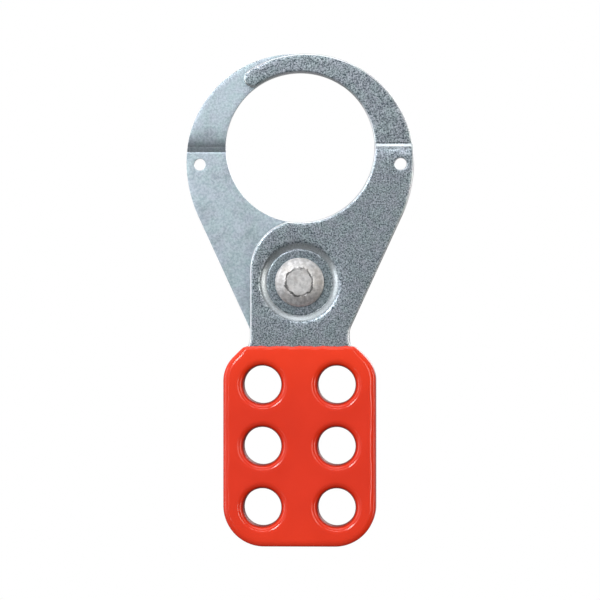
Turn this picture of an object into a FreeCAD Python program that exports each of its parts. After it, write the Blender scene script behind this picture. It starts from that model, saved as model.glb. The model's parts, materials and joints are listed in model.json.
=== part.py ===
import FreeCAD, Part
import math
import os

from FreeCAD import Vector

# Lockout hasp: two steel leaves on one rivet, each with a dipped vinyl grip.
# Millimetres. The origin is the centre of the closed jaw, on the plane where
# the leaves meet. +Z runs from the handles to the jaw, +X is to the right seen
# from the front, and the front leaf is on the -Y side. Both leaves are the
# same pressing: the back one is the front one turned half round the Z axis.

# The jaw and the pivot
JAW_R = 19.05             # inside radius of the closed jaw
PIVOT_DROP = 34.3         # rivet axis below the jaw's centre

# Sheet, coating and gaps, all measured along Y
SHEET = 2.0               # steel
COAT = 1.1                # vinyl over it
LEAF_GAP = 0.10           # between the leaves where their dimples and arms meet
GRIP_GAP = 0.20           # between the two grips

# The arm: its outer edge is a circle set off the jaw's centre, so it tapers
ARM_X, ARM_Z, ARM_R = 1.5, -3.7, 27.6
TIP_ANGLE = 124.0         # where the rounded tip is centred, about the jaw
SHOULDER_R = 34.0         # the outer edge's flatter arc below the arm
FLANK_ANGLE = 24.7        # straight flank, from the vertical

# The neck and the handle, heights measured down from the pivot
NECK_HALF = 12.6          # half the neck's width, and the radius of the hump over the rivet
HUMP_RISE = 3.2           # centre of the hump above the pivot
WAIST_R = 6.2             # fillet between neck and handle
WAIST_DROP = 13.75
HANDLE_HALF = 18.3
HANDLE_DROP = 66.1        # bottom edge of the steel
HANDLE_SHOULDER_R = 7.3
HANDLE_CORNER_R = 9.3

# Pressed steps: the joggle across the arm and the dimple round the rivet
BEND_R = 0.20             # inside radius of each bend
JOGGLE_Z = -0.80          # lower end of the joggle
DIMPLE_R = 10.3           # rim of the dimple

# Holes
PADLOCK_R = 4.8           # through the vinyl
PADLOCK_X = 9.45
PADLOCK_ROWS = (26.0, 41.6, 57.2)
TAG_X, TAG_Z, TAG_R = 25.7, -4.2, 1.5

# Grip
GRIP_DROP = 16.1          # top edge of the vinyl, below the pivot
GRIP_EDGE_R = 0.95        # rounding of the vinyl's edges

# Rivet
SHANK_R = 3.5
SHANK_CLEARANCE = 0.06    # radial, in both leaves
HEAD_CLEARANCE = 0.05     # under each head
HEAD_R = 6.25
FLAT_R = 3.5              # flat in the middle of the formed head
FORMED_RIM, FORMED_HEIGHT, FORMED_CROWN = 0.75, 2.0, 0.22
MADE_RIM, MADE_HEIGHT, MADE_CROWN = 0.6, 2.05, 0.42
RIM_R = 0.25              # rounding of each head's rim

PIVOT_Z = -PIVOT_DROP
INNER = COAT + GRIP_GAP / 2               # from the middle plane to a leaf's inner face
OUTER = INNER + SHEET                     # and to its outer face
STEP = INNER - LEAF_GAP / 2               # depth of the joggle and of the dimple
BEND_OUTER_R = BEND_R + SHEET
BEND_ANGLE = math.acos(1 - STEP / (BEND_R + BEND_OUTER_R))
CLEAR = 100.0                             # reaches past the whole part

DIAGONAL = math.sqrt(2)
ORIGIN = Vector(0, 0, 0)
UPWARDS = Vector(0, 0, 1)
BACKWARDS = Vector(0, 1, 0)


def at(x, z):
    """A point of the XZ plane."""
    return Vector(x, 0, z)


def polar(centre, radius, degrees):
    angle = math.radians(degrees)
    return centre + at(radius * math.cos(angle), radius * math.sin(angle))


def angle_of(direction):
    return math.degrees(math.atan2(direction.z, direction.x))


def line(start, end):
    return Part.LineSegment(start, end).toShape()


def arc(centre, radius, start, end):
    """Arc in the XZ plane between two angles in degrees, counted from +X towards +Z."""
    points = [polar(centre, radius, start + (end - start) * share) for share in (0, 0.5, 1)]
    return Part.Arc(*points).toShape()


def rounded_run(points, radii):
    """Straight runs through the points, with an arc of the given radius at each inner point."""
    edges, start = [], points[0]
    for before, corner, after, radius in zip(points, points[1:], points[2:], radii):
        into, out = (before - corner).normalize(), (after - corner).normalize()
        half = into.getAngle(out) / 2
        first = corner + into * (radius / math.tan(half))
        last = corner + out * (radius / math.tan(half))
        middle = corner + (into + out).normalize() * (radius / math.sin(half) - radius)
        edges += [line(start, first), Part.Arc(first, middle, last).toShape()]
        start = last
    return edges + [line(start, points[-1])]


def handle_corners(side, offset):
    """Corners of the handle on one side, from the waist down, moved out by the offset.

    The 45 degree shoulder line is tangent to the waist's arc.
    """
    waist_z = PIVOT_Z - WAIST_DROP
    shoulder_sum = NECK_HALF + WAIST_R + waist_z - (WAIST_R - offset) * DIAGONAL
    edge = HANDLE_HALF + offset
    bottom = PIVOT_Z - HANDLE_DROP - offset
    return [at(side * edge, shoulder_sum - edge), at(side * edge, bottom)]


def neck_corner(side, offset):
    """Where the neck's straight side would meet the shoulder line."""
    edge = NECK_HALF + offset
    return at(side * edge, handle_corners(side, offset)[0].z + HANDLE_HALF - NECK_HALF)


def flank_line():
    """Start and direction of the straight flank, which leaves the waist's arc on a tangent."""
    waist = at(NECK_HALF + WAIST_R, PIVOT_Z - WAIST_DROP)
    start = polar(waist, WAIST_R, 180 - FLANK_ANGLE)
    slope = math.radians(FLANK_ANGLE)
    return start, at(math.sin(slope), math.cos(slope))


def arm_edges():
    """The jaw's arc, the rounded tip and the arm's outer edge down to the flank."""
    arm = at(ARM_X, ARM_Z)
    both = JAW_R + ARM_R
    toward_tip = polar(ORIGIN, 1, TIP_ANGLE)
    tip_reach = (both ** 2 - arm.dot(arm)) / (2 * (both - arm.dot(toward_tip)))
    tip, tip_r = toward_tip * tip_reach, tip_reach - JAW_R
    tip_end = angle_of(tip - arm)

    start, slope = flank_line()
    normal = at(slope.z, -slope.x)
    offset = (start - arm).dot(normal)
    turn = math.degrees(math.acos((SHOULDER_R - offset) / (SHOULDER_R - ARM_R)))
    join = turn - FLANK_ANGLE
    shoulder = polar(arm, ARM_R - SHOULDER_R, join)

    kink = hump_kink()
    edges = [
        arc(ORIGIN, JAW_R, angle_of(kink), TIP_ANGLE),
        arc(tip, tip_r, TIP_ANGLE + 180, tip_end),
        arc(arm, ARM_R, tip_end, join),
        arc(shoulder, SHOULDER_R, join, -FLANK_ANGLE),
    ]
    return edges, polar(shoulder, SHOULDER_R, -FLANK_ANGLE)


def hump_kink():
    """Where the hump over the rivet runs into the jaw's arc, left of the middle."""
    drop = PIVOT_DROP - HUMP_RISE
    z = (drop ** 2 + JAW_R ** 2 - NECK_HALF ** 2) / (2 * drop)
    return at(-math.sqrt(JAW_R ** 2 - z ** 2), -z)


def leaf_outline():
    """The front leaf's outline: jaw, arm, flank, waist, handle, waist, neck and hump."""
    edges, flank_top = arm_edges()
    start, slope = flank_line()
    shoulder, bottom = handle_corners(1, 0)
    # the flank and the shoulder line meet inside the waist's arc
    run = (shoulder.x + shoulder.z - start.x - start.z) / (slope.x + slope.z)
    hump = at(0, PIVOT_Z + HUMP_RISE)
    left_shoulder, left_bottom = handle_corners(-1, 0)
    corners = [
        flank_top,
        start + slope * run,
        shoulder,
        bottom,
        left_bottom,
        left_shoulder,
        neck_corner(-1, 0),
        hump - at(NECK_HALF, 0),
    ]
    radii = [WAIST_R, HANDLE_SHOULDER_R, HANDLE_CORNER_R,
             HANDLE_CORNER_R, HANDLE_SHOULDER_R, WAIST_R]
    edges += rounded_run(corners, radii)
    edges.append(arc(hump, NECK_HALF, 180, angle_of(hump_kink() - hump)))
    return Part.Wire(Part.__sortEdges__(edges))


def grip_outline():
    """The handle's outline moved out by the coating, run up the neck past the grip's top."""
    corners = []
    for side in (-1, 1):
        shoulder, bottom = handle_corners(side, COAT)
        run = [at(side * (NECK_HALF + COAT), PIVOT_Z), neck_corner(side, COAT), shoulder, bottom]
        corners += run if side < 0 else run[::-1]
    radii = [WAIST_R - COAT, HANDLE_SHOULDER_R + COAT, HANDLE_CORNER_R + COAT]
    edges = rounded_run(corners, radii + radii[::-1])
    edges.append(line(corners[-1], corners[0]))
    return Part.Wire(Part.__sortEdges__(edges))


def prism(outline, front, back):
    """The outline's inside, from Y = front to Y = back."""
    outline.translate(Vector(0, front, 0))
    return Part.Face(outline).extrude(BACKWARDS * (back - front))


def drill(x, z, radius):
    """A cylinder along Y that reaches past both leaves."""
    return Part.makeCylinder(radius, 2 * CLEAR, Vector(x, -CLEAR, z), BACKWARDS)


def padlock_drills(radius):
    return [
        drill(side * PADLOCK_X, PIVOT_Z - row, radius) for side in (-1, 1) for row in PADLOCK_ROWS
    ]


def stepped_section(low, high, place):
    """Section of the sheet where it steps towards the other leaf, between s = low and s = high.

    The step starts at s = 0. place turns s and Y into a point.
    """
    first = (0.0, -INNER + BEND_R)
    reach = BEND_R + BEND_OUTER_R
    second = (reach * math.sin(BEND_ANGLE), first[1] - reach * math.cos(BEND_ANGLE))

    def bend(centre, radius, way, start, end):
        points = []
        for angle in (start, (start + end) / 2, end):
            s = centre[0] + way * radius * math.sin(angle)
            points.append(place(s, centre[1] - way * radius * math.cos(angle)))
        return Part.Arc(*points).toShape()

    edges = [bend(first, BEND_OUTER_R, 1, 0, BEND_ANGLE), bend(second, BEND_R, -1, BEND_ANGLE, 0)]
    edges += [bend(second, BEND_OUTER_R, -1, 0, BEND_ANGLE), bend(first, BEND_R, 1, BEND_ANGLE, 0)]
    corners = [(second[0], -OUTER + STEP), (high, -OUTER + STEP),
               (high, -INNER + STEP), (second[0], -INNER + STEP)]
    edges += [line(place(*a), place(*b)) for a, b in zip(corners, corners[1:])]
    corners = [(0.0, -INNER), (low, -INNER), (low, -OUTER), (0.0, -OUTER)]
    edges += [line(place(*a), place(*b)) for a, b in zip(corners, corners[1:]) if a != b]
    return Part.Face(Part.Wire(Part.__sortEdges__(edges)))


def joggled_sheet():
    """An endless sheet with the joggle, which the leaf's outline is cut from."""
    section = stepped_section(-2 * CLEAR, CLEAR, lambda s, y: Vector(-CLEAR, y, JOGGLE_Z + s))
    return section.extrude(Vector(2 * CLEAR, 0, 0))


def dimple():
    """The pressed ring round the rivet, from its rim to the rivet hole."""
    hole_r = SHANK_R + SHANK_CLEARANCE
    section = stepped_section(
        0.0, DIMPLE_R - hole_r, lambda s, y: Vector(DIMPLE_R - s, y, PIVOT_Z))
    return section.revolve(at(0, PIVOT_Z), BACKWARDS, 360)


def front_leaf():
    blank = prism(leaf_outline(), -CLEAR, CLEAR)
    leaf = blank.common(joggled_sheet())
    leaf = leaf.cut(drill(0, PIVOT_Z, DIMPLE_R)).fuse(dimple())
    leaf = leaf.cut(padlock_drills(PADLOCK_R + COAT) + [drill(TAG_X, TAG_Z, TAG_R)])
    return leaf.Solids[0]


def front_grip(leaf):
    """The vinyl over the handle: it rounds over every edge and lines the padlock holes."""
    front, back = -OUTER - COAT, -INNER + COAT
    skin = prism(grip_outline(), front, back)
    below = Part.makeBox(2 * CLEAR, 2 * CLEAR, 2 * CLEAR,
                         Vector(-CLEAR, -CLEAR, PIVOT_Z - GRIP_DROP - 2 * CLEAR))
    skin = skin.common(below).cut(padlock_drills(PADLOCK_R))
    skin = skin.makeFillet(GRIP_EDGE_R, [e for e in skin.Edges if lies_across(e)])
    return skin.cut(leaf).Solids[0]


def lies_across(edge):
    """True for an edge that lies in one of the flat faces, and not along Y."""
    box = edge.BoundBox
    return box.YLength < SHEET / 2


def head(seat, way, rim, height, flat_r, crown):
    """Section of a rivet head that stands on Y = seat and points along way (1 or -1).

    It has a short rim, then a cone up to a flat of radius flat_r. The crown is how far the
    cone bulges.
    """
    def place(r, h):
        return Vector(r, seat + way * h, PIVOT_Z)

    diagonal = RIM_R * (1 - 1 / DIAGONAL)
    middle = ((HEAD_R + flat_r) / 2, (rim + height) / 2 + crown)
    return [
        line(place(SHANK_R, 0), place(HEAD_R - RIM_R, 0)),
        Part.Arc(place(HEAD_R - RIM_R, 0), place(HEAD_R - diagonal, diagonal),
                 place(HEAD_R, RIM_R)).toShape(),
        line(place(HEAD_R, RIM_R), place(HEAD_R, rim)),
        Part.Arc(place(HEAD_R, rim), place(*middle), place(flat_r, height)).toShape(),
        line(place(flat_r, height), place(0, height)),
    ]


def pivot_rivet():
    """One solid: the formed head on the front leaf, the shank and the made head on the back."""
    seat = OUTER - STEP + HEAD_CLEARANCE
    edges = head(-seat, -1, FORMED_RIM, FORMED_HEIGHT, FLAT_R, FORMED_CROWN)
    edges += head(seat, 1, MADE_RIM, MADE_HEIGHT, SHANK_R, MADE_CROWN)
    edges.append(line(Vector(SHANK_R, -seat, PIVOT_Z), Vector(SHANK_R, seat, PIVOT_Z)))
    edges.append(line(Vector(0, -seat - FORMED_HEIGHT, PIVOT_Z),
                      Vector(0, seat + MADE_HEIGHT, PIVOT_Z)))
    section = Part.Face(Part.Wire(Part.__sortEdges__(edges)))
    return section.revolve(at(0, PIVOT_Z), BACKWARDS, 360)


def turned_round(shape):
    """The same piece on the back of the hasp."""
    copy = shape.copy()
    copy.rotate(ORIGIN, UPWARDS, 180)
    return copy


def main():
    os.makedirs("parts", exist_ok=True)
    leaf = front_leaf()
    grip = front_grip(leaf)
    parts = {
        "front_leaf": leaf,
        "front_grip": grip,
        "back_leaf": turned_round(leaf),
        "back_grip": turned_round(grip),
        "pivot_rivet": pivot_rivet(),
    }
    for name, shape in parts.items():
        shape.exportStep(f"parts/{name}.step")
        print(name, shape.ShapeType, "valid", shape.isValid(), "volume", round(shape.Volume, 1))


main()
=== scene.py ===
import cmath
import json
import math

import bpy
import numpy as np
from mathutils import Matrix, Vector
from mathutils.geometry import delaunay_2d_cdt
from mathutils.kdtree import KDTree


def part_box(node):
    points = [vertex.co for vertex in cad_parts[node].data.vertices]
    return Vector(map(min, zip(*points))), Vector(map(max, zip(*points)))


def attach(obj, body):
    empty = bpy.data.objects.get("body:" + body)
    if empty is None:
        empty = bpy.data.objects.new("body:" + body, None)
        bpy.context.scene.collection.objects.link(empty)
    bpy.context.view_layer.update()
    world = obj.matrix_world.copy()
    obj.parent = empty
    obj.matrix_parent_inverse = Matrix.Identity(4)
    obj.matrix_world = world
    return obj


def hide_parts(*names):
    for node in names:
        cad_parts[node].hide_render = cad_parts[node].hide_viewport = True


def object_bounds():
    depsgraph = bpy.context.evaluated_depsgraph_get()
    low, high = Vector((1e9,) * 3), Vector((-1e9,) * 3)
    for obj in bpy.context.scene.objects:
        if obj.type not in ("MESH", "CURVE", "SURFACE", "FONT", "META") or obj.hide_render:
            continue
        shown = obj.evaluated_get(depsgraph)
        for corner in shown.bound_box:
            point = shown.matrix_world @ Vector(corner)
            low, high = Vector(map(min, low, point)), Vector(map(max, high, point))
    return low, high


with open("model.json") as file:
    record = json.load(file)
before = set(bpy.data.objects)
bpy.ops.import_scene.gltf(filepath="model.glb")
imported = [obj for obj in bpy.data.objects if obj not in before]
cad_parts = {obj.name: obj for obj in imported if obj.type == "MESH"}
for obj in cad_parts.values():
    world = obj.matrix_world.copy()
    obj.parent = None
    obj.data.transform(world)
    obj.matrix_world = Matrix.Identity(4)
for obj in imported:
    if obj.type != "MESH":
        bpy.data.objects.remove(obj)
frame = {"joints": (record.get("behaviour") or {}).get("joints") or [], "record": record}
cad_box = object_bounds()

# Lockout hasp. Shapes are worked out in millimetres and made in metres. A point of the
# XZ plane is a complex number, x + z * 1j. Each outline runs with the material on its
# left, so the way into the material is the direction of travel times 1j.
MM = 0.001
record = frame["record"]
mounts = {mount["name"]: mount for mount in record["mounts"]}
body_of = {node: body for body, nodes in record["behaviour"]["bodies"].items() for node in nodes}


def node_box(name):
    """Lowest and highest corner of a node, in millimetres."""
    return [Vector(corner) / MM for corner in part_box(name)]


def mount_place(name):
    """Where a mount is in the XZ plane."""
    x, _, z = mounts[name]["pos_m"]
    return complex(x, z) / MM


leaf_low, leaf_high = node_box("front_leaf")
grip_low, grip_high = node_box("front_grip")
_, rivet_high = node_box("pivot_rivet")

# What the frame says
PIVOT = 1j * frame["joints"][0]["pos_m"][2] / MM
JAW_R = mounts["jaw_opening"]["dims"]["r_mm"]
PADLOCK_MOUNTS = [name for name in mounts if name.startswith("padlock_hole")]
PADLOCK_HOLES = [mount_place(name) for name in PADLOCK_MOUNTS]
PADLOCK_R = mounts[PADLOCK_MOUNTS[0]]["dims"]["r_mm"]
TAG_HOLE = mount_place("tag_hole_front")
TAG_R = mounts["tag_hole_front"]["dims"]["r_mm"]
SHEET = mounts["tag_hole_front"]["dims"]["length_mm"]
OUTER = -leaf_low.y                     # the front leaf's outer face is at Y = -OUTER
INNER = OUTER - SHEET
STEP = INNER + leaf_high.y              # depth of the joggle and of the dimple
COAT = -grip_low.y - OUTER
GRIP_THICKNESS = grip_high.y - grip_low.y
GRIP_TOP = grip_high.z
HANDLE_HALF = -leaf_low.x
HANDLE_BOTTOM = leaf_low.z
HEAD_R = rivet_high.x

# The leaf's outline, as the part has it
ARM, ARM_R = 1.5 - 3.7j, 27.6
TIP_ANGLE = 124.0
SHOULDER_R = 34.0
FLANK_ANGLE = 24.7
HUMP_RISE, WAIST_DROP = 3.2, 13.75      # of their centres, above and below the pivot
NECK_HALF, HUMP = 12.6, PIVOT + HUMP_RISE * 1j
WAIST_R = 6.2
WAIST = NECK_HALF + WAIST_R + PIVOT - WAIST_DROP * 1j
WAIST_END = 225                         # degrees, where the waist's arc meets the shoulder
HANDLE_SHOULDER_R, HANDLE_CORNER_R = 7.3, 9.3

# Pressed steps. Each has a wall of even slope with a soft rim and a sharp foot. On the
# outer face it starts at JOGGLE_OUTER and DIMPLE_OUTER, on the inner face at the others.
JOGGLE_OUTER, JOGGLE_INNER = 0.55, 0.33
DIMPLE_OUTER, DIMPLE_INNER = 10.00, 8.80
# Each step's slope, the depth and reach of the sheet drawn in at its rim, its softness
JOGGLE_OUTER_STEP = (0.95, 0.84, 1.3, 0.07)
JOGGLE_INNER_STEP = (0.42, 0.65, 1.5, 0.30)
DIMPLE_STEP = (0.72, 0.12, 1.2, 0.20)
FOOT_SOFT = 0.02
FOOT_MARK, FOOT_MARK_RUN = 0.09, 0.15   # the groove along the foot: depth and half width
JOGGLE_ZONE = (-2.6, 2.6)               # where the bends need closer points
DIMPLE_ZONE = (8.0, 11.6)

CLEARANCE = 0.005                       # keeps the outline inside the part's
# Edges: width and depth of the roll on the outer face, and on the inner face
PUNCHED_ROLL = ((0.75, 0.48), (0.05, 0.05))
SMALL_ROLL = (0.30, 0.48)
SHANK_HOLE_R = 3.56
VINYL_ROLL = ((1.65, COAT), (1.0, 0.95))
VINYL_HOLE_ROLL = (1.80, 2.0)
VINYL_SINK, SINK_REACH = 0.10, 3.0      # how far the coat sinks between the holes
LIP_ROLL = 0.85                         # width of the roll along the grip's top edge
LIP_CORNER_R = 1.5
LIP_WAVE = 0.13
LIP_WAVES = ((1.0, 1.13, 0.6), (0.7, 2.07, 2.1), (0.4, 4.3, 0.9))
ROLL_STEPS, BLEND_STEPS = 8, 3          # rows in a roll, and those with the face's material
FRONT, BACK, EDGE = 0, 1, 2             # a plate's material slots

# Spacing of points
EDGE_GAP, FINE_GAP, FACE_GAP, ROW_GAP = 0.36, 0.09, 1.1, 0.14
FOOT_GAP, FOOT_ZONE = 0.065, 0.40
DIMPLE_TURN_POINTS = 200
INSIDE_WITH_HOLES = 2                   # the kind of triangulation, for mathutils
MERGE_WITHIN = 1e-6


def unit(z):
    """The direction of z."""
    return z / abs(z)


def turn(degrees):
    """The direction at that angle from X."""
    return cmath.exp(1j * math.radians(degrees))


def degrees_of(z):
    return math.degrees(cmath.phase(z))


def dot(a, b):
    return (a * b.conjugate()).real


def waves(x, terms):
    """A sum of sine waves, each with its height, rate and phase."""
    return sum(height * np.sin(rate * x + phase) for height, rate, phase in terms)


def arc(centre, radius, start, end):
    """Points along an arc between two angles in degrees, without its last point."""
    count = max(3, math.ceil(radius * math.radians(abs(end - start)) / EDGE_GAP))
    return [centre + radius * turn(start + (end - start) * k / count) for k in range(count)]


def run(start, end):
    """Points along a straight line, without its last point."""
    count = max(1, math.ceil(abs(end - start) / EDGE_GAP))
    return [start + (end - start) * k / count for k in range(count)]


def circle(centre, radius):
    """A hole's edge, with the material on its left."""
    return np.array(arc(centre, radius, 360, 0))


def rounded_run(points, radii):
    """Straight runs through the points, with an arc of a given radius at each inner point."""
    path, start = [], points[0]
    for before, corner, after, radius in zip(points, points[1:], points[2:], radii):
        into, out = unit(before - corner), unit(after - corner)
        half = abs(cmath.phase(out / into)) / 2
        first = corner + into * radius / math.tan(half)
        last = corner + out * radius / math.tan(half)
        centre = corner + unit(into + out) * radius / math.sin(half)
        angle = degrees_of(first - centre)
        path += run(start, first)
        path += arc(centre, radius, angle, angle + degrees_of((last - centre) / (first - centre)))
        start = last
    return path + run(start, points[-1])


def shoulder_corner(offset):
    """Where the handle's side meets the 45 degree shoulder, a tangent of the waist's arc."""
    shoulder_sum = WAIST.real + WAIST.imag - (WAIST_R - offset) * math.sqrt(2)
    edge = HANDLE_HALF + offset
    return complex(edge, shoulder_sum - edge)


def left(point):
    """The same point on the left side."""
    return -point.conjugate()


def hump_kink():
    """Where the hump over the rivet runs into the jaw's arc, left of the middle."""
    drop = -HUMP.imag
    z = (drop ** 2 + JAW_R ** 2 - NECK_HALF ** 2) / (2 * drop)
    return complex(-math.sqrt(JAW_R ** 2 - z ** 2), -z)


def arm_path():
    """From the flank up the arm's outer edge, round the tip and back along the jaw."""
    both = JAW_R + ARM_R
    reach = (both ** 2 - abs(ARM) ** 2) / (2 * (both - dot(ARM, turn(TIP_ANGLE))))
    tip, tip_r = reach * turn(TIP_ANGLE), reach - JAW_R
    tip_end = degrees_of(tip - ARM)
    flank_foot = WAIST + WAIST_R * turn(180 - FLANK_ANGLE)
    offset = dot(flank_foot - ARM, turn(-FLANK_ANGLE))
    join = math.degrees(math.acos((SHOULDER_R - offset) / (SHOULDER_R - ARM_R))) - FLANK_ANGLE
    shoulder = ARM + (ARM_R - SHOULDER_R) * turn(join)
    path = run(flank_foot, shoulder + SHOULDER_R * turn(-FLANK_ANGLE))
    path += arc(shoulder, SHOULDER_R, -FLANK_ANGLE, join)
    path += arc(ARM, ARM_R, join, tip_end)
    path += arc(tip, tip_r, tip_end, TIP_ANGLE + 180)
    path += arc(0, JAW_R, TIP_ANGLE, degrees_of(hump_kink()))
    return path


def leaf_outline():
    """The front leaf's edge, counter-clockwise from the foot of the flank."""
    corner = shoulder_corner(0)
    bottom = complex(HANDLE_HALF, HANDLE_BOTTOM)
    neck = complex(NECK_HALF, corner.imag + HANDLE_HALF - NECK_HALF)
    kink = degrees_of(hump_kink() - HUMP)
    path = arm_path()
    path += arc(HUMP, NECK_HALF, kink, 180)
    path += rounded_run(
        [HUMP - NECK_HALF, left(neck), left(corner), left(bottom), bottom, corner,
         WAIST + WAIST_R * turn(WAIST_END)],
        [WAIST_R, HANDLE_SHOULDER_R, HANDLE_CORNER_R, HANDLE_CORNER_R, HANDLE_SHOULDER_R])
    path += arc(WAIST, WAIST_R, WAIST_END, 180 - FLANK_ANGLE)
    return moved_in(with_fine_bends(np.array(path)), CLEARANCE)


def moved_in(edge, amount):
    """The edge moved into the material."""
    inward = 1j * (np.roll(edge, -1) - np.roll(edge, 1))
    return edge + amount * inward / abs(inward)


def with_fine_bends(path):
    """The same edge with closer points where the joggle crosses it."""
    low, high = JOGGLE_ZONE
    parts = round(EDGE_GAP / FINE_GAP)
    points = []
    for start, end in zip(path, np.roll(path, -1)):
        count = parts if low < start.imag < high else 1
        points += [start + (end - start) * k / count for k in range(count)]
    return np.array(points)


def grip_outline():
    """The vinyl's edge: the handle's outline moved out by the coat, with a wavy top."""
    corner = shoulder_corner(COAT)
    bottom = complex(HANDLE_HALF + COAT, HANDLE_BOTTOM - COAT)
    top = complex(corner.real + corner.imag - GRIP_TOP, GRIP_TOP)
    ring = [1j * GRIP_TOP, left(top), left(corner), left(bottom), bottom, corner, top,
            1j * GRIP_TOP]
    radii = [LIP_CORNER_R, HANDLE_SHOULDER_R + COAT, HANDLE_CORNER_R + COAT]
    path = np.array(rounded_run(ring, radii + radii[::-1]))
    wave = waves(path.real, LIP_WAVES) / 2 - 1
    return path + 1j * LIP_WAVE * wave * top_share(path)


def top_share(path):
    """1 along the grip's top edge, falling to 0 below it."""
    return np.clip(1 - (GRIP_TOP - path.imag) / LIP_CORNER_R, 0, 1)


def soft_ramp(x, softness):
    """0 below 0 and x above it, rounded between."""
    return softness * np.logaddexp(0, x / softness)


def foot_of(step):
    """How far the foot of a wall is from its start."""
    slope, drawn, _, _ = step
    return (STEP - drawn) / slope


def step_depth(run_in, step):
    """How deep a pressed step is, run_in from where its wall starts."""
    slope, drawn, reach, softness = step
    depth = slope * soft_ramp(run_in, softness) + drawn * np.exp(np.minimum(run_in, 0) / reach)
    past_foot = (run_in - foot_of(step)) / FOOT_MARK_RUN - 1
    return STEP - soft_ramp(STEP - depth, FOOT_SOFT) + FOOT_MARK * np.exp(-past_foot ** 2)


def leaf_heights(places, share):
    """Y of the front leaf at each place, from its outer face (share 0) to its inner (1)."""
    z, radius = places.imag, abs(places - PIVOT)
    outer = step_depth(z - JOGGLE_OUTER, JOGGLE_OUTER_STEP)
    outer += step_depth(DIMPLE_OUTER - radius, DIMPLE_STEP)
    inner = 2 * STEP - step_depth(JOGGLE_INNER - z, JOGGLE_INNER_STEP)
    inner -= step_depth(radius - DIMPLE_INNER, DIMPLE_STEP)
    return -OUTER + outer * (1 - share) + (SHEET + inner) * share


def grip_heights(places, share):
    """Y of the front grip: flat, with a slight sink between the holes."""
    near = np.min([abs(places - hole) for hole in PADLOCK_HOLES], axis=0)
    past_roll = near - PADLOCK_R - VINYL_HOLE_ROLL[0]
    sink = VINYL_SINK * np.clip(past_roll / SINK_REACH, 0, 1) ** 2
    return grip_low.y + GRIP_THICKNESS * share + sink * (1 - share)


def steps_over(zone, feet):
    """Even steps over the zone, with closer ones at each foot."""
    fine = [foot + np.arange(-FOOT_ZONE, FOOT_ZONE, FOOT_GAP) for foot in feet]
    far = np.arange(*zone, ROW_GAP)
    apart = np.min([abs(far - foot) for foot in feet], axis=0)
    return np.concatenate([far[apart > FOOT_ZONE], *fine])


def leaf_rows():
    """Rows of points that carry the joggle's and the dimple's bends."""
    across = np.arange(leaf_low.x, leaf_high.x, 3 * ROW_GAP)
    feet = [JOGGLE_OUTER + foot_of(JOGGLE_OUTER_STEP), JOGGLE_INNER - foot_of(JOGGLE_INNER_STEP)]
    heights = steps_over(JOGGLE_ZONE, feet)
    rows = [across + 1j * z for z in heights]
    round_it = np.exp(1j * np.linspace(0, 2 * math.pi, DIMPLE_TURN_POINTS, endpoint=False))
    foot = foot_of(DIMPLE_STEP)
    radii = steps_over(DIMPLE_ZONE, [DIMPLE_OUTER - foot, DIMPLE_INNER + foot])
    rows += [PIVOT + radius * round_it for radius in radii]
    return np.concatenate(rows)


def grid(low, high, gap):
    """Evenly spaced points over a box."""
    x, z = np.meshgrid(np.arange(low.x, high.x, gap), np.arange(low.z, high.z, gap))
    return (x + 1j * z).ravel()


def inside(points, rims):
    """Which of the points lie on the face between the rims."""
    odd = np.zeros(len(points), bool)
    for rim in rims:
        for a, b in zip(rim, np.roll(rim, -1)):
            if a.imag != b.imag:
                crosses = (a.imag > points.imag) != (b.imag > points.imag)
                at = a.real + (points.imag - a.imag) * (b.real - a.real) / (b.imag - a.imag)
                odd ^= crosses & (points.real < at)
    return odd


def clear_of(points, others, margin):
    """The points that lie at least margin from all the others."""
    tree = KDTree(len(others))
    for k, other in enumerate(others):
        tree.insert((other.real, other.imag, 0), k)
    tree.balance()
    far = [tree.find((p.real, p.imag, 0))[2] > margin for p in points]
    return points[np.array(far, bool)]


def fill(rims, rows, filler):
    """Triangles over the face between the rims. Returns the added points and the triangles."""
    edge = np.concatenate(rims)
    rows = clear_of(rows[inside(rows, rims)], edge, ROW_GAP) if len(rows) else rows
    filler = clear_of(filler[inside(filler, rims)], np.concatenate([edge, rows]), FACE_GAP / 2)
    points = np.concatenate([edge, rows, filler])
    links, first = [], 0
    for rim in rims:
        links += [(first + k, first + (k + 1) % len(rim)) for k in range(len(rim))]
        first += len(rim)
    flat = [Vector((p.real, p.imag)) for p in points]
    made = delaunay_2d_cdt(flat, links, [], INSIDE_WITH_HOLES, MERGE_WITHIN)
    origin = [sources[0] for sources in made[3]]
    triangles = np.array([[origin[k] for k in triangle] for triangle in made[2]])
    rim_of = np.repeat(np.arange(len(rims) + 1), [*map(len, rims), len(points) - len(edge)])
    rim_of[len(edge):] = 0
    corners = rim_of[triangles]
    # A triangle with all its corners on one hole's rim lies in the hole
    in_hole = (corners[:, 0] > 0) & (corners.min(1) == corners.max(1))
    return points[len(edge):], triangles[~in_hole].tolist()


def rolled_edge(edge, front_roll, back_roll, thickness):
    """Rings from the front face to the back one, and each ring's share of the thickness."""
    angles = np.linspace(0, math.pi / 2, ROLL_STEPS + 1)
    insets, depths = 1 - np.sin(angles), 1 - np.cos(angles)
    (front_width, front_depth), (back_width, back_depth) = front_roll, back_roll
    rings = [moved_in(edge, front_width * inset) for inset in insets]
    rings += [moved_in(edge, back_width * inset) for inset in insets[::-1]]
    levels = list(depths * front_depth / thickness)
    levels += list(1 - depths[::-1] * back_depth / thickness)
    return rings, levels


def strips(first, count, steps):
    """Quads between the rings of a rolled edge, and the material slot of each."""
    along = np.arange(count)
    after = (along + 1) % count
    faces, slots = [], []
    for step in range(steps):
        near = first + step * count
        far = near + count
        faces += np.stack([far + along, far + after, near + after, near + along], 1).tolist()
        in_edge = BLEND_STEPS <= step < steps - BLEND_STEPS
        face = FRONT if step < ROLL_STEPS else BACK
        slots += [EDGE if in_edge else face] * count
    return faces, slots


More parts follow.
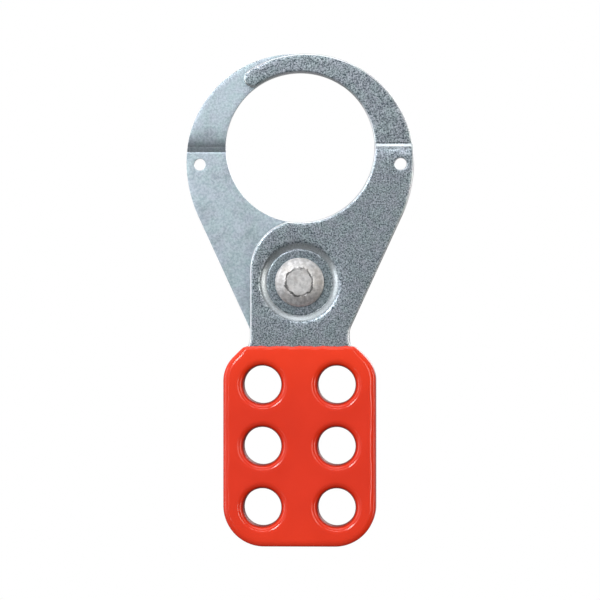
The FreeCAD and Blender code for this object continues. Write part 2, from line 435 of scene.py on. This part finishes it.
def plate(name, loops, thickness, heights, rows, materials):
    """A sheet or slab with rolled edges.

    loops holds (edge, roll on the front, roll on the back), a roll being its width and
    depth. The materials are those of the front face, the back face and the edges.
    """
    places, shares, faces, slots = [], [], [], []
    front_rims, back_rims, front_ids, back_ids = [], [], [], []
    total = 0
    for edge, front_roll, back_roll in loops:
        rings, levels = rolled_edge(edge, front_roll, back_roll, thickness)
        count, steps = len(edge), len(rings) - 1
        new_faces, new_slots = strips(total, count, steps)
        faces += new_faces
        slots += new_slots
        front_rims.append(rings[0])
        back_rims.append(rings[-1])
        front_ids.append(total + np.arange(count))
        back_ids.append(total + steps * count + np.arange(count))
        places += rings
        shares += [np.full(count, level) for level in levels]
        total += len(rings) * count
    for rims, ids, share, slot in ((front_rims, front_ids, 0.0, FRONT),
                                   (back_rims, back_ids, 1.0, BACK)):
        added, triangles = fill(rims, rows, grid(leaf_low, leaf_high, FACE_GAP))
        ids = np.concatenate(ids + [total + np.arange(len(added))])
        order = 1 if slot == FRONT else -1
        faces += [[int(ids[k]) for k in triangle[::order]] for triangle in triangles]
        slots += [slot] * len(triangles)
        places.append(added)
        shares.append(np.full(len(added), share))
        total += len(added)
    places, shares = np.concatenate(places), np.concatenate(shares)
    vertices = np.stack([places.real, heights(places, shares), places.imag], 1)
    return mesh_object(name, vertices, faces, slots, materials)


def mesh_object(name, vertices, faces, slots, materials):
    """A smooth object from vertices in millimetres."""
    mesh = bpy.data.meshes.new(name)
    mesh.from_pydata((np.asarray(vertices) * MM).tolist(), [], faces)
    for material in materials:
        mesh.materials.append(material)
    mesh.polygons.foreach_set("material_index", slots)
    mesh.polygons.foreach_set("use_smooth", [True] * len(faces))
    mesh.update()
    piece = bpy.data.objects.new(name, mesh)
    bpy.context.scene.collection.objects.link(piece)
    return piece


def turned_round(piece, name):
    """The same piece on the back of the hasp."""
    copy = piece.copy()
    copy.name = name
    copy.data = piece.data.copy()
    for vertex in copy.data.vertices:
        x, y, z = vertex.co
        vertex.co = (-x, -y, z)
    bpy.context.scene.collection.objects.link(copy)
    return copy


def stand_for(piece, replaced):
    """Puts a piece in a node's place, on the node's body."""
    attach(piece, body_of[replaced])
    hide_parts(replaced)


def make_leaf(name, materials):
    """The front leaf: its outline, six padlock holes, tag hole and shank hole."""
    roll, burr = PUNCHED_ROLL
    loops = [(leaf_outline(), roll, burr)]
    loops += [(circle(hole, PADLOCK_R + COAT), SMALL_ROLL, burr) for hole in PADLOCK_HOLES]
    loops.append((circle(TAG_HOLE, TAG_R), SMALL_ROLL, burr))
    loops.append((circle(PIVOT, SHANK_HOLE_R), SMALL_ROLL, burr))
    return plate(name, loops, SHEET, leaf_heights, leaf_rows(), materials)


def make_grip(name, material):
    """The front grip: its outline, with a narrower roll along the top, and six holes."""
    (width, depth), back = VINYL_ROLL
    outline = grip_outline()
    loops = [(outline, (width + (LIP_ROLL - width) * top_share(outline), depth), back)]
    loops += [(circle(hole, PADLOCK_R), VINYL_HOLE_ROLL, back) for hole in PADLOCK_HOLES]
    return plate(name, loops, GRIP_THICKNESS, grip_heights, np.array([]), [material] * 3)


# The rivet
SEAT = 2.10                             # the heads' undersides are at Y = -SEAT and SEAT
SHANK_R = 3.5
# Each head's rim height, its flat end's radius and height, and the bulge between them
FLAT_R = 3.45
FORMED_HEAD = (0.75, FLAT_R, 2.0, 0.10)
MADE_HEAD = (0.6, 2.6, 2.05, 0.16)
RIM_ROUND, RIM_DROP, UNDER_ROUND = 0.22, 0.1, 0.25
# Rows of points: on the flat, closer ones over its edge, and out to the rim
FLAT_ROWS, EDGE_ROWS, SLOPE_ROWS, ROUND_ROWS = 12, 14, 16, 6
MIDDLE_R, RIM_INSET = 0.15, 0.3
FLAT_END, EDGE_HALF, SLOPE_START = 0.6, 0.5, 0.65    # distances from the flat's edge
RIVET_TURN_POINTS = 192
# The ragged groove round the formed head's flat: waves over the angle, and its section
GROOVE_WANDER = ((0.04, 5, 1), (0.05, 13, 0), (0.05, 23, 2))
GROOVE_DEPTHS = ((0.03, 5, 0.5), (0.02, 11, 0))
GROOVE_DEPTH, GROOVE_LEAST, GROOVE_HALF = 0.06, 0.02, 0.17
FLAT_TILT = 0.05


def crowned(radius, inner_r, inner_h, outer_r, outer_h, crown):
    """Height of a bulging cone between two radii."""
    share = np.clip((radius - inner_r) / (outer_r - inner_r), 0, 1)
    return inner_h + (outer_h - inner_h) * share + crown * 4 * share * (1 - share)


def head_rows(rim_h, flat_r, flat_h, crown):
    """Radii and heights of a head's rows, from the middle out, over the rim and under it."""
    flat = np.linspace(MIDDLE_R, flat_r - FLAT_END, FLAT_ROWS)
    edge = np.linspace(flat_r - EDGE_HALF, flat_r + EDGE_HALF, EDGE_ROWS)
    slope = np.linspace(flat_r + SLOPE_START, HEAD_R - RIM_INSET, SLOPE_ROWS)
    radii = np.concatenate([flat, edge, slope])
    rim_top = rim_h - RIM_DROP + RIM_ROUND
    heights = crowned(radii, flat_r, flat_h, HEAD_R, rim_top, crown)
    angles = np.linspace(0, math.pi / 2, ROUND_ROWS)
    rim_r = HEAD_R - RIM_ROUND + RIM_ROUND * np.sin(angles)
    rim_z = rim_h - RIM_DROP + RIM_ROUND * np.cos(angles)
    under_r = HEAD_R - UNDER_ROUND + UNDER_ROUND * np.cos(angles)
    under_z = UNDER_ROUND - UNDER_ROUND * np.sin(angles)
    return np.concatenate([radii, rim_r, under_r]), np.concatenate([heights, rim_z, under_z])


def formed_marks(radius, angle):
    """What forming leaves on the front head: a ragged groove round a slightly tilted flat."""
    ragged = FLAT_R + waves(angle, GROOVE_WANDER)
    depth = np.maximum(GROOVE_DEPTH + waves(angle, GROOVE_DEPTHS), GROOVE_LEAST)
    groove = depth * np.exp(-((radius - ragged) / GROOVE_HALF) ** 2)
    tilt = np.where(radius < ragged, FLAT_TILT * radius / FLAT_R * np.cos(angle), 0)
    return groove + tilt


def make_rivet(name, materials):
    """One piece: the formed head in front, the shank, and the made head behind."""
    front_r, front_h = head_rows(*FORMED_HEAD)
    back_r, back_h = head_rows(*MADE_HEAD)
    radii = np.concatenate([front_r, [SHANK_R, SHANK_R], back_r[::-1]])
    y = np.concatenate([-SEAT - front_h, [-SEAT, SEAT], (SEAT + back_h)[::-1]])
    marked = len(front_r) - 2 * ROUND_ROWS
    turns = np.linspace(0, 2 * math.pi, RIVET_TURN_POINTS, endpoint=False)
    rows = []
    for row, (radius, height) in enumerate(zip(radii, y)):
        marks = formed_marks(radius, turns) if row < marked else np.zeros(len(turns))
        across, up = radius * np.cos(turns), PIVOT.imag + radius * np.sin(turns)
        rows.append(np.stack([across, height + marks, up], 1))
    middles = [[0, y[0], PIVOT.imag], [0, y[-1], PIVOT.imag]]
    vertices = np.concatenate([*rows, middles])
    faces = turned_faces(len(radii), len(turns))
    return mesh_object(name, vertices, faces, [0] * len(faces), materials)


def turned_faces(row_count, count):
    """Quads between rows of count points, and a fan at each end to the two last points."""
    along = np.arange(count)
    after = (along + 1) % count
    faces = []
    for row in range(row_count - 1):
        near, far = row * count, (row + 1) * count
        faces += np.stack([near + along, far + along, far + after, near + after], 1).tolist()
    last, front_middle = (row_count - 1) * count, row_count * count
    faces += [[front_middle, int(a), int(b)] for a, b in zip(along, after)]
    faces += [[front_middle + 1, last + int(b), last + int(a)] for a, b in zip(along, after)]
    return faces


# Materials. Colours are linear, and sizes in millimetres. A noise's values mostly lie
# between 0.3 and 0.7, so each thing that it drives names the stretch of it that it follows.
WHOLE_NOISE, MOST_NOISE, MID_NOISE = (0.3, 0.7), (0.35, 0.65), (0.38, 0.62)
# In each look, the last entry is how much painted shade darkens the dimple's floor
ZINC_OUTER = {"dark": (0.035, 0.055, 0.068), "light": (0.50, 0.565, 0.62), "grain_mm": 0.36,
              "contrast": 0.15, "roughness": 0.34, "grain_depth": 0.02, "polish": 0.62,
              "dimple_shade": 0.5}
# The inner faces' zinc: lighter than the outer faces', a painted reflection of the brighter light
# on the back leaf's face, with a finer, fainter grain of its own
ZINC_INNER_LIT = {"dark": (0.31, 0.38, 0.43), "light": (0.47, 0.55, 0.60), "grain_mm": 0.50,
              "contrast": 0.12, "roughness": 0.36, "grain_depth": 0.01, "polish": 0.30,
              "dimple_shade": 0.0}
ZINC_EDGE = {"dark": (0.68, 0.72, 0.75), "light": (0.76, 0.79, 0.82), "grain_mm": 0.60,
             "contrast": 0.20, "roughness": 0.30, "grain_depth": 0.004, "polish": 0.0,
             "dimple_shade": 0.0}
BURNISHED = (0.66, 0.71, 0.74)
FLAT_NORMAL, BENT_NORMAL = 0.98, 0.80   # |Y| of the normal where burnishing starts and is full
STAIN_MM, STAIN_NOISE, STAIN_SHARE = 5.0, (0.40, 0.68), 0.30
ZINC_POLISHED, ZINC_DULLED = -0.04, 0.06    # how far the roughness strays
ZINC_BUMP = 0.6
NICK_GAP, NICK_SIZE, NICK_SHARE, NICK_GAIN = 1.9, 0.22, 0.5, 1.25
HUE_MM, GREENISH, PINKISH = 3.1, (0.96, 1.0, 0.98), (1.0, 0.97, 1.0)
# Painted shade on the dimple's floor: its grey, the size of its patches, and the radii where it
# starts and where it is full
SHADE_GREY, SHADE_PATCH_MM, SHADE_RIM, SHADE_FULL = (0.10, 0.13, 0.15), 0.5, 8.7, 7.6
SHADE_PATCHES = (0.4, 1.0)
SHEET_WAVE_MM, SHEET_WAVE_DEPTH, SHEET_WAVE_BUMP = 7.0, 0.10, 0.4

# The last of these reds is painted light, at both ends of the grip
RED, RED_LIGHTER, RED_LIT = (0.655, 0.026, 0.005), (0.70, 0.030, 0.007), (0.78, 0.036, 0.006)
CLOUD_MM = 12.0
# Painted light at both ends of the grip: how far it reaches down from the top and up from the
# bottom, and its share at the bottom
LIT_TOP_FADE, LIT_BOTTOM_FADE, LIT_BOTTOM_SHARE = 18, 16, 0.4          # where the coat is lighter, at both ends
SMEAR_MM, GLOSS = 2.5, (0.11, 0.17)
VINYL_IOR = 1.46
RIPPLE_MM, RIPPLE_DEPTH, PORE_MM, PORE_DEPTH, VINYL_BUMP = 4.0, 0.04, 0.8, 0.003, 0.5
# Painted shade inside the holes, where the vinyl is also duller
BORE_SHADE_RED, BORE_SHADE, BORE_ROUGH, BORE_FADE = (0.16, 0.007, 0.003), 0.85, 0.50, 0.60

STEEL_DARK, STEEL_LIGHT, STEEL_GRAIN_MM = (0.41, 0.41, 0.42), (0.65, 0.65, 0.66), 0.9
STEEL_ROUGH, STEEL_GRAIN_DEPTH, STEEL_BUMP = (0.44, 0.54), 0.05, 0.6
WARM_STAIN, WARM_STAIN_MM, WARM_SHARE = (0.40, 0.35, 0.30), 2.6, 0.35
WARM_NOISE = (0.45, 0.7)
FLAT_DULL, FLAT_DULL_SHARE, FLAT_DULL_FADE = (0.28, 0.28, 0.28), 0.30, 0.2
GROOVE_BLACK = (0.08, 0.08, 0.08)
DIRT_WANDER, DIRT_WANDER_MM = 0.30, 0.9
DIRT_PATCH_MM, DIRT_PATCH_NOISE, DIRT_PATCHES = 1.9, (0.36, 0.5), (0.35, 0.9)
DIRT_FADE, DIRT_FULL = 0.42, 0.14       # distances from the groove's line
DIRT_FRONT = (-3.0, -3.5)               # Y where the dirt starts and is full
FLOOR_GREY = (0.86, 0.86, 0.86)
FLOOR_FADE = (0.12, 0.5)                # metres from the floor's middle
WHITE = (1, 1, 1, 1)


def node(tree, kind, inputs=(), **settings):
    """Adds a shader node. An input is a value or the socket that feeds it."""
    made = tree.nodes.new("ShaderNode" + kind)
    for name, value in settings.items():
        setattr(made, name, value)
    for name, value in dict(inputs).items():
        if isinstance(value, bpy.types.NodeSocket):
            tree.links.new(value, made.inputs[name])
        else:
            made.inputs[name].default_value = value
    return made


def new_material(name):
    """A material, its node tree and its shader."""
    material = bpy.data.materials.new(name)
    material.use_nodes = True
    return material, material.node_tree, material.node_tree.nodes["Principled BSDF"]


def noise(tree, place, feature_mm, detail=3.0, rough=0.55):
    """Noise with features of that size."""
    return node(tree, "TexNoise", {"Vector": place, "Scale": 1 / (feature_mm * MM),
                                   "Detail": detail, "Roughness": rough}).outputs["Fac"]


def remap(tree, value, low, high, to_low, to_high, kind="LINEAR"):
    """Maps low to high onto to_low to to_high, and holds the ends."""
    return node(tree, "MapRange", {"Value": value, "From Min": low, "From Max": high,
                                   "To Min": to_low, "To Max": to_high},
                interpolation_type=kind).outputs["Result"]


def smooth(tree, value, low, high, to_low, to_high):
    """The same with soft ends."""
    return remap(tree, value, low, high, to_low, to_high, "SMOOTHSTEP")


def combine(tree, operation, *values):
    """A sum, product or other operation on values or sockets."""
    return node(tree, "Math", enumerate(values), operation=operation).outputs["Value"]


def mix_colour(tree, share, first, second, blend="MIX"):
    """Mixes two colours, each a value or a socket."""
    made = tree.nodes.new("ShaderNodeMix")
    made.data_type, made.blend_type = "RGBA", blend
    factor, colour_a, colour_b = made.inputs[0], made.inputs[6], made.inputs[7]
    for socket, value in ((factor, share), (colour_a, first), (colour_b, second)):
        if isinstance(value, bpy.types.NodeSocket):
            tree.links.new(value, socket)
        else:
            socket.default_value = value if isinstance(value, float) else (*value, 1)
    return made.outputs[2]


def bump(tree, height, depth_mm, strength, before=None):
    """A normal from a height, on top of an earlier normal if there is one."""
    inputs = {"Height": height, "Distance": depth_mm * MM, "Strength": strength}
    if before is not None:
        inputs["Normal"] = before
    return node(tree, "Bump", inputs).outputs["Normal"]


def specks(tree, place, spacing_mm, size_mm):
    """1 inside scattered small round specks, falling off to 0 at their rims."""
    cells = node(tree, "TexVoronoi", {"Vector": place, "Scale": 1 / (spacing_mm * MM)})
    reach = size_mm / spacing_mm
    return smooth(tree, cells.outputs["Distance"], reach, 0.4 * reach, 0.0, 1.0)


def burnish(tree, most):
    """Most on the bends and rolled edges, which the die rubs smooth, and 0 on flat faces."""
    normal = node(tree, "TexCoord").outputs["Normal"]
    across = node(tree, "SeparateXYZ", {"Vector": normal}).outputs["Y"]
    return smooth(tree, combine(tree, "ABSOLUTE", across), FLAT_NORMAL, BENT_NORMAL, 0.0, most)


def from_axis(tree, place, axis):
    """Distance from an axis along Y through a point of the XZ plane."""
    axes = node(tree, "SeparateXYZ", {"Vector": place})
    flat = node(tree, "CombineXYZ", {"X": axes.outputs["X"], "Z": axes.outputs["Z"]})
    point = (axis.real * MM, 0, axis.imag * MM)
    return node(tree, "VectorMath", {0: flat.outputs["Vector"], 1: point},
                operation="DISTANCE").outputs["Value"]


def from_nearest_hole(tree, place):
    """Distance from the axis of the nearest padlock hole."""
    first, *others = [from_axis(tree, place, hole) for hole in PADLOCK_HOLES]
    nearest = first
    for away in others:
        nearest = combine(tree, "MINIMUM", away, nearest)
    return nearest


def recess_shade(tree, place, most):
    """Painted shade on the floor of the dimple, in patches."""
    away = from_axis(tree, place, PIVOT)
    floor = smooth(tree, away, SHADE_RIM * MM, SHADE_FULL * MM, 0.0, most)
    patches = remap(tree, noise(tree, place, SHADE_PATCH_MM), *MOST_NOISE, *SHADE_PATCHES)
    return combine(tree, "MULTIPLY", floor, patches)


def zinc_colour(tree, place, grain, blotch, look):
    """The mottle, with bright nicks, faint stains, painted shade on the dimple's floor and
    burnished bends.
    """
    low, high = 0.5 - look["contrast"], 0.5 + look["contrast"]
    fine = remap(tree, grain, low, high, 0.0, 1.0)
    mottle = mix_colour(tree, fine, look["dark"], look["light"])
    nick = remap(tree, specks(tree, place, NICK_GAP, NICK_SIZE), 0.0, 1.0, 0.0, NICK_SHARE)
    bright = tuple(min(1.0, NICK_GAIN * part) for part in look["light"])
    nicked = mix_colour(tree, nick, mottle, bright)
    stain = remap(tree, blotch, *STAIN_NOISE, 0.0, STAIN_SHARE)
    stained = mix_colour(tree, stain, nicked, look["dark"])
    hue = remap(tree, noise(tree, place, HUE_MM, detail=2.0), *MID_NOISE, 0.0, 1.0)
    tint = mix_colour(tree, hue, GREENISH, PINKISH)
    tinted = mix_colour(tree, 1.0, stained, tint, "MULTIPLY")
    # Painted shade darkens the dimple's floor
    darkened = mix_colour(tree, recess_shade(tree, place, look["dimple_shade"]), tinted, SHADE_GREY)
    return mix_colour(tree, burnish(tree, look["polish"]), darkened, BURNISHED)


def zinc(name, look):
    """Bright zinc plate: a mottle of small crystals on slightly wavy sheet."""
    material, tree, shader = new_material(name)
    place = node(tree, "TexCoord").outputs["Object"]
    grain = noise(tree, place, look["grain_mm"], rough=0.60)
    blotch = noise(tree, place, STAIN_MM)
    colour = zinc_colour(tree, place, grain, blotch, look)
    tree.links.new(colour, shader.inputs["Base Color"])
    shader.inputs["Metallic"].default_value = 1.0
    smoothest, roughest = look["roughness"] + ZINC_POLISHED, look["roughness"] + ZINC_DULLED
    rough = remap(tree, blotch, *WHOLE_NOISE, smoothest, roughest)
    tree.links.new(rough, shader.inputs["Roughness"])
    wavy = noise(tree, place, SHEET_WAVE_MM, detail=1.0)
    wave = bump(tree, wavy, SHEET_WAVE_DEPTH, SHEET_WAVE_BUMP)
    normal = bump(tree, grain, look["grain_depth"], ZINC_BUMP, wave)
    tree.links.new(normal, shader.inputs["Normal"])
    return material


def vinyl_colour(tree, place, bore_shade):
    """Red, with painted light toward both ends of the grip and painted shade inside the holes."""
    cloud = remap(tree, noise(tree, place, CLOUD_MM, detail=1.0), *MOST_NOISE, 0.0, 1.0)
    coat = mix_colour(tree, cloud, RED, RED_LIGHTER)
    up = node(tree, "SeparateXYZ", {"Vector": place}).outputs["Z"]
    # Painted light: full at the top, weaker at the bottom
    lit_top = smooth(tree, up, (GRIP_TOP - LIT_TOP_FADE) * MM, GRIP_TOP * MM, 0.0, 1.0)
    lit_bottom = smooth(tree, up, (grip_low.z + LIT_BOTTOM_FADE) * MM, grip_low.z * MM, 0.0, LIT_BOTTOM_SHARE)
    ends = combine(tree, "ADD", lit_top, lit_bottom)
    # Painted shade inside the holes, over the lighter ends
    return mix_colour(tree, bore_shade, mix_colour(tree, ends, coat, RED_LIT), BORE_SHADE_RED)


def vinyl(name):
    """Glossy dipped vinyl, with the ripple of a dipped coat."""
    material, tree, shader = new_material(name)
    place = node(tree, "TexCoord").outputs["Object"]
    # Painted shade inside the holes, which also makes the vinyl rougher there
    bore_shade = smooth(tree, from_nearest_hole(tree, place), (PADLOCK_R + BORE_FADE) * MM,
                  PADLOCK_R * MM, 0.0, BORE_SHADE)
    tree.links.new(vinyl_colour(tree, place, bore_shade), shader.inputs["Base Color"])
    smear = remap(tree, noise(tree, place, SMEAR_MM, detail=4.0), *WHOLE_NOISE, *GLOSS)
    rough = combine(tree, "MULTIPLY_ADD", bore_shade, BORE_ROUGH, smear)
    tree.links.new(rough, shader.inputs["Roughness"])
    shader.inputs["IOR"].default_value = VINYL_IOR
    ripple = bump(tree, noise(tree, place, RIPPLE_MM, detail=1.0), RIPPLE_DEPTH, VINYL_BUMP)
    pores = bump(tree, noise(tree, place, PORE_MM, detail=2.0), PORE_DEPTH, VINYL_BUMP, ripple)
    tree.links.new(pores, shader.inputs["Normal"])
    return material


def groove_dirt(tree, place):
    """Ragged dirt along the edge of the front head's flat."""
    wander = remap(tree, noise(tree, place, DIRT_WANDER_MM), *WHOLE_NOISE,
                   -DIRT_WANDER * MM, DIRT_WANDER * MM)
    moved = combine(tree, "ADD", from_axis(tree, place, PIVOT), wander)
    away = combine(tree, "ABSOLUTE", combine(tree, "SUBTRACT", moved, FLAT_R * MM))
    line = smooth(tree, away, DIRT_FADE * MM, DIRT_FULL * MM, 0.0, 1.0)
    patches = noise(tree, place, DIRT_PATCH_MM, detail=2.0)
    patchy = remap(tree, patches, *DIRT_PATCH_NOISE, *DIRT_PATCHES)
    starts, full = DIRT_FRONT
    across = node(tree, "SeparateXYZ", {"Vector": place}).outputs["Y"]
    front = smooth(tree, across, starts * MM, full * MM, 0.0, 1.0)
    return combine(tree, "MULTIPLY", combine(tree, "MULTIPLY", line, patchy), front)


def rivet_metal(name):
    """Satin grey steel, with a warm stain on the head and dirt in the groove round the flat."""
    material, tree, shader = new_material(name)
    place = node(tree, "TexCoord").outputs["Object"]
    grain = noise(tree, place, STEEL_GRAIN_MM, detail=4.0, rough=0.6)
    stain = noise(tree, place, WARM_STAIN_MM)
    fine = remap(tree, grain, *MID_NOISE, 0.0, 1.0)
    colour = mix_colour(tree, fine, STEEL_DARK, STEEL_LIGHT)
    warmth = remap(tree, stain, *WARM_NOISE, 0.0, WARM_SHARE)
    stained = mix_colour(tree, warmth, colour, WARM_STAIN)
    end = smooth(tree, from_axis(tree, place, PIVOT), (FLAT_R + FLAT_DULL_FADE) * MM,
                 (FLAT_R - FLAT_DULL_FADE) * MM, 0.0, FLAT_DULL_SHARE)
    darkened = mix_colour(tree, end, stained, FLAT_DULL)
    dirty = mix_colour(tree, groove_dirt(tree, place), darkened, GROOVE_BLACK)
    tree.links.new(dirty, shader.inputs["Base Color"])
    shader.inputs["Metallic"].default_value = 1.0
    rough = remap(tree, stain, *WHOLE_NOISE, *STEEL_ROUGH)
    tree.links.new(rough, shader.inputs["Roughness"])
    normal = bump(tree, grain, STEEL_GRAIN_DEPTH, STEEL_BUMP)
    tree.links.new(normal, shader.inputs["Normal"])
    return material


# Studio, in metres and degrees
CAMERA_TURN = 2.6                       # to the right of straight on
CAMERA_AWAY = 1.0
VIEW_HEIGHT = 0.153                     # of the plane through the hasp
SENSOR_WIDTH = 36
LAMP_AWAY = 0.9
FLOOR_DROP, FLOOR_R, FLOOR_POINTS = 0.06, 4.0, 96
WARM, NEUTRAL = (1.0, 0.95, 0.86), (1, 1, 1)
# Each lamp's name, direction from the hasp, width, height, radiance and colour
LAMPS = (
    ("key_light", (-0.42, -1.0, 0.37), 0.20, 0.20, 22.5, NEUTRAL),
    ("upper_light", (0.05, -1.0, 0.62), 0.45, 0.07, 7.0, NEUTRAL),
    ("warm_light", (0.44, -1.0, 0.08), 0.13, 0.45, 6.5, WARM),
    ("right_light", (1.0, -0.34, 0.0), 0.18, 0.60, 3.5, WARM),
    ("left_light", (-0.42, -1.0, -0.10), 0.05, 0.50, 2.8, NEUTRAL),
    ("side_light", (-0.80, -0.60, 0.0), 0.50, 0.60, 0.6, NEUTRAL),
    ("rim_light", (-1.0, -0.34, 0.05), 0.18, 0.60, 2.0, NEUTRAL),
    ("top_light", (0.0, -0.22, 1.0), 0.70, 0.45, 1.35, NEUTRAL),
    ("back_key_light", (0.42, 1.0, 0.37), 0.45, 0.45, 4.2, NEUTRAL),
)
# What the hasp sees round it. Each row is a direction's part, where it changes from one
# brightness to another, and the two brightnesses.
FRONT_GLOW = (0.2, 0.75, 0.20, 0.375)   # over |Y|
RIGHT_SHADE = (0.15, 0.7, 1.0, 0.35)    # over X
BAND_OUTSIDE = (0.55, 0.36, 0.0, 1.0)   # over |Y|: a band round the sides
BAND_INSIDE = (0.0, -0.24, 0.25, 1.0)   # over Y
BAND_ABOVE = (-0.65, -0.15, 0.0, 0.85)  # over Z
UPPER_GAIN = (-0.6, 0.6, 0.90, 1.5)     # over Z


def aim(thing, place, target):
    """Puts a camera or lamp at a place, facing the target."""
    thing.location = place
    thing.rotation_euler = (Vector(target) - Vector(place)).to_track_quat("-Z", "Y").to_euler()


def make_camera(centre):
    """A long lens, a little to the right of straight on."""
    camera = bpy.data.objects.new("camera", bpy.data.cameras.new("camera"))
    camera.data.sensor_width = SENSOR_WIDTH
    camera.data.lens = SENSOR_WIDTH * CAMERA_AWAY / VIEW_HEIGHT
    angle = math.radians(CAMERA_TURN)
    away = Vector((math.sin(angle), -math.cos(angle), 0)) * CAMERA_AWAY
    aim(camera, centre + away, centre)
    bpy.context.scene.collection.objects.link(camera)
    bpy.context.scene.camera = camera


def softbox(name, direction, width, height, radiance, colour, centre):
    """A rectangular lamp that faces the hasp."""
    lamp = bpy.data.lights.new(name, "AREA")
    lamp.color = colour
    lamp.shape, lamp.size, lamp.size_y = "RECTANGLE", width, height
    lamp.energy = radiance * math.pi * width * height
    box = bpy.data.objects.new(name, lamp)
    aim(box, centre + Vector(direction).normalized() * LAMP_AWAY, centre)
    bpy.context.scene.collection.objects.link(box)


def studio_level(tree):
    """Brightness of the studio in each direction: darker below, with a band round the sides."""
    way = node(tree, "TexCoord").outputs["Generated"]
    axes = node(tree, "SeparateXYZ", {"Vector": way})
    x, y, z = axes.outputs["X"], axes.outputs["Y"], axes.outputs["Z"]
    depth = combine(tree, "ABSOLUTE", y)
    front = smooth(tree, depth, *FRONT_GLOW)
    ahead = combine(tree, "MULTIPLY", front, smooth(tree, x, *RIGHT_SHADE))
    outside = smooth(tree, depth, *BAND_OUTSIDE)
    band = combine(tree, "MULTIPLY", outside, smooth(tree, y, *BAND_INSIDE))
    band = combine(tree, "MULTIPLY", band, smooth(tree, z, *BAND_ABOVE))
    around = combine(tree, "ADD", ahead, band)
    return combine(tree, "MULTIPLY", around, smooth(tree, z, *UPPER_GAIN))


def make_world():
    """White behind everything, while the hasp is lit by the studio."""
    world = bpy.data.worlds.new("studio")
    bpy.context.scene.world = world
    world.use_nodes = True
    tree = world.node_tree
    tree.nodes.clear()
    studio = node(tree, "Background", {"Color": WHITE, "Strength": studio_level(tree)})
    white = node(tree, "Background", {"Color": WHITE, "Strength": 1.0})
    seen = node(tree, "LightPath").outputs["Is Camera Ray"]
    blend = node(tree, "MixShader", {"Fac": seen})
    tree.links.new(studio.outputs["Background"], blend.inputs[1])
    tree.links.new(white.outputs["Background"], blend.inputs[2])
    output = node(tree, "OutputWorld")
    tree.links.new(blend.outputs["Shader"], output.inputs["Surface"])


def make_floor(centre, height):
    """A pale floor that fades into the white round it."""
    bpy.ops.mesh.primitive_circle_add(vertices=FLOOR_POINTS, radius=FLOOR_R, fill_type="NGON",
                                      location=(centre.x, centre.y, height))
    floor = bpy.context.object
    floor.name = "floor"
    material, tree, shader = new_material("pale_floor")
    shader.inputs["Base Color"].default_value = (*FLOOR_GREY, 1)
    shader.inputs["Roughness"].default_value = 0.7
    place = node(tree, "TexCoord").outputs["Object"]
    away = node(tree, "VectorMath", {0: place}, operation="LENGTH").outputs["Value"]
    fade = smooth(tree, away, *FLOOR_FADE, 0.0, 1.0)
    glow = node(tree, "Emission", {"Color": WHITE, "Strength": 1.0})
    blend = node(tree, "MixShader", {"Fac": fade})
    tree.links.new(shader.outputs["BSDF"], blend.inputs[1])
    tree.links.new(glow.outputs["Emission"], blend.inputs[2])
    tree.links.new(blend.outputs["Shader"], tree.nodes["Material Output"].inputs["Surface"])
    floor.data.materials.append(material)
    floor.visible_glossy = False
    floor.visible_diffuse = False


def make_studio():
    """The camera, the white surroundings, the floor and the lamps."""
    low, high = cad_box
    centre = (low + high) / 2
    make_camera(centre)
    make_world()
    make_floor(centre, low.z - FLOOR_DROP)
    for lamp in LAMPS:
        softbox(*lamp, centre)
    bpy.context.scene.view_settings.view_transform = "Standard"


def main():
    """Builds the studio and the five pieces."""
    make_studio()
    zincs = [zinc("zinc_outer", ZINC_OUTER), zinc("zinc_inner_lit", ZINC_INNER_LIT),
             zinc("zinc_edge", ZINC_EDGE)]
    red = vinyl("red_vinyl")
    steel = rivet_metal("rivet_steel")
    leaf = make_leaf("leaf_front", zincs)
    grip = make_grip("grip_front", red)
    stand_for(turned_round(leaf, "leaf_back"), "back_leaf")
    stand_for(turned_round(grip, "grip_back"), "back_grip")
    stand_for(leaf, "front_leaf")
    stand_for(grip, "front_grip")
    stand_for(make_rivet("rivet", [steel]), "pivot_rivet")


main()
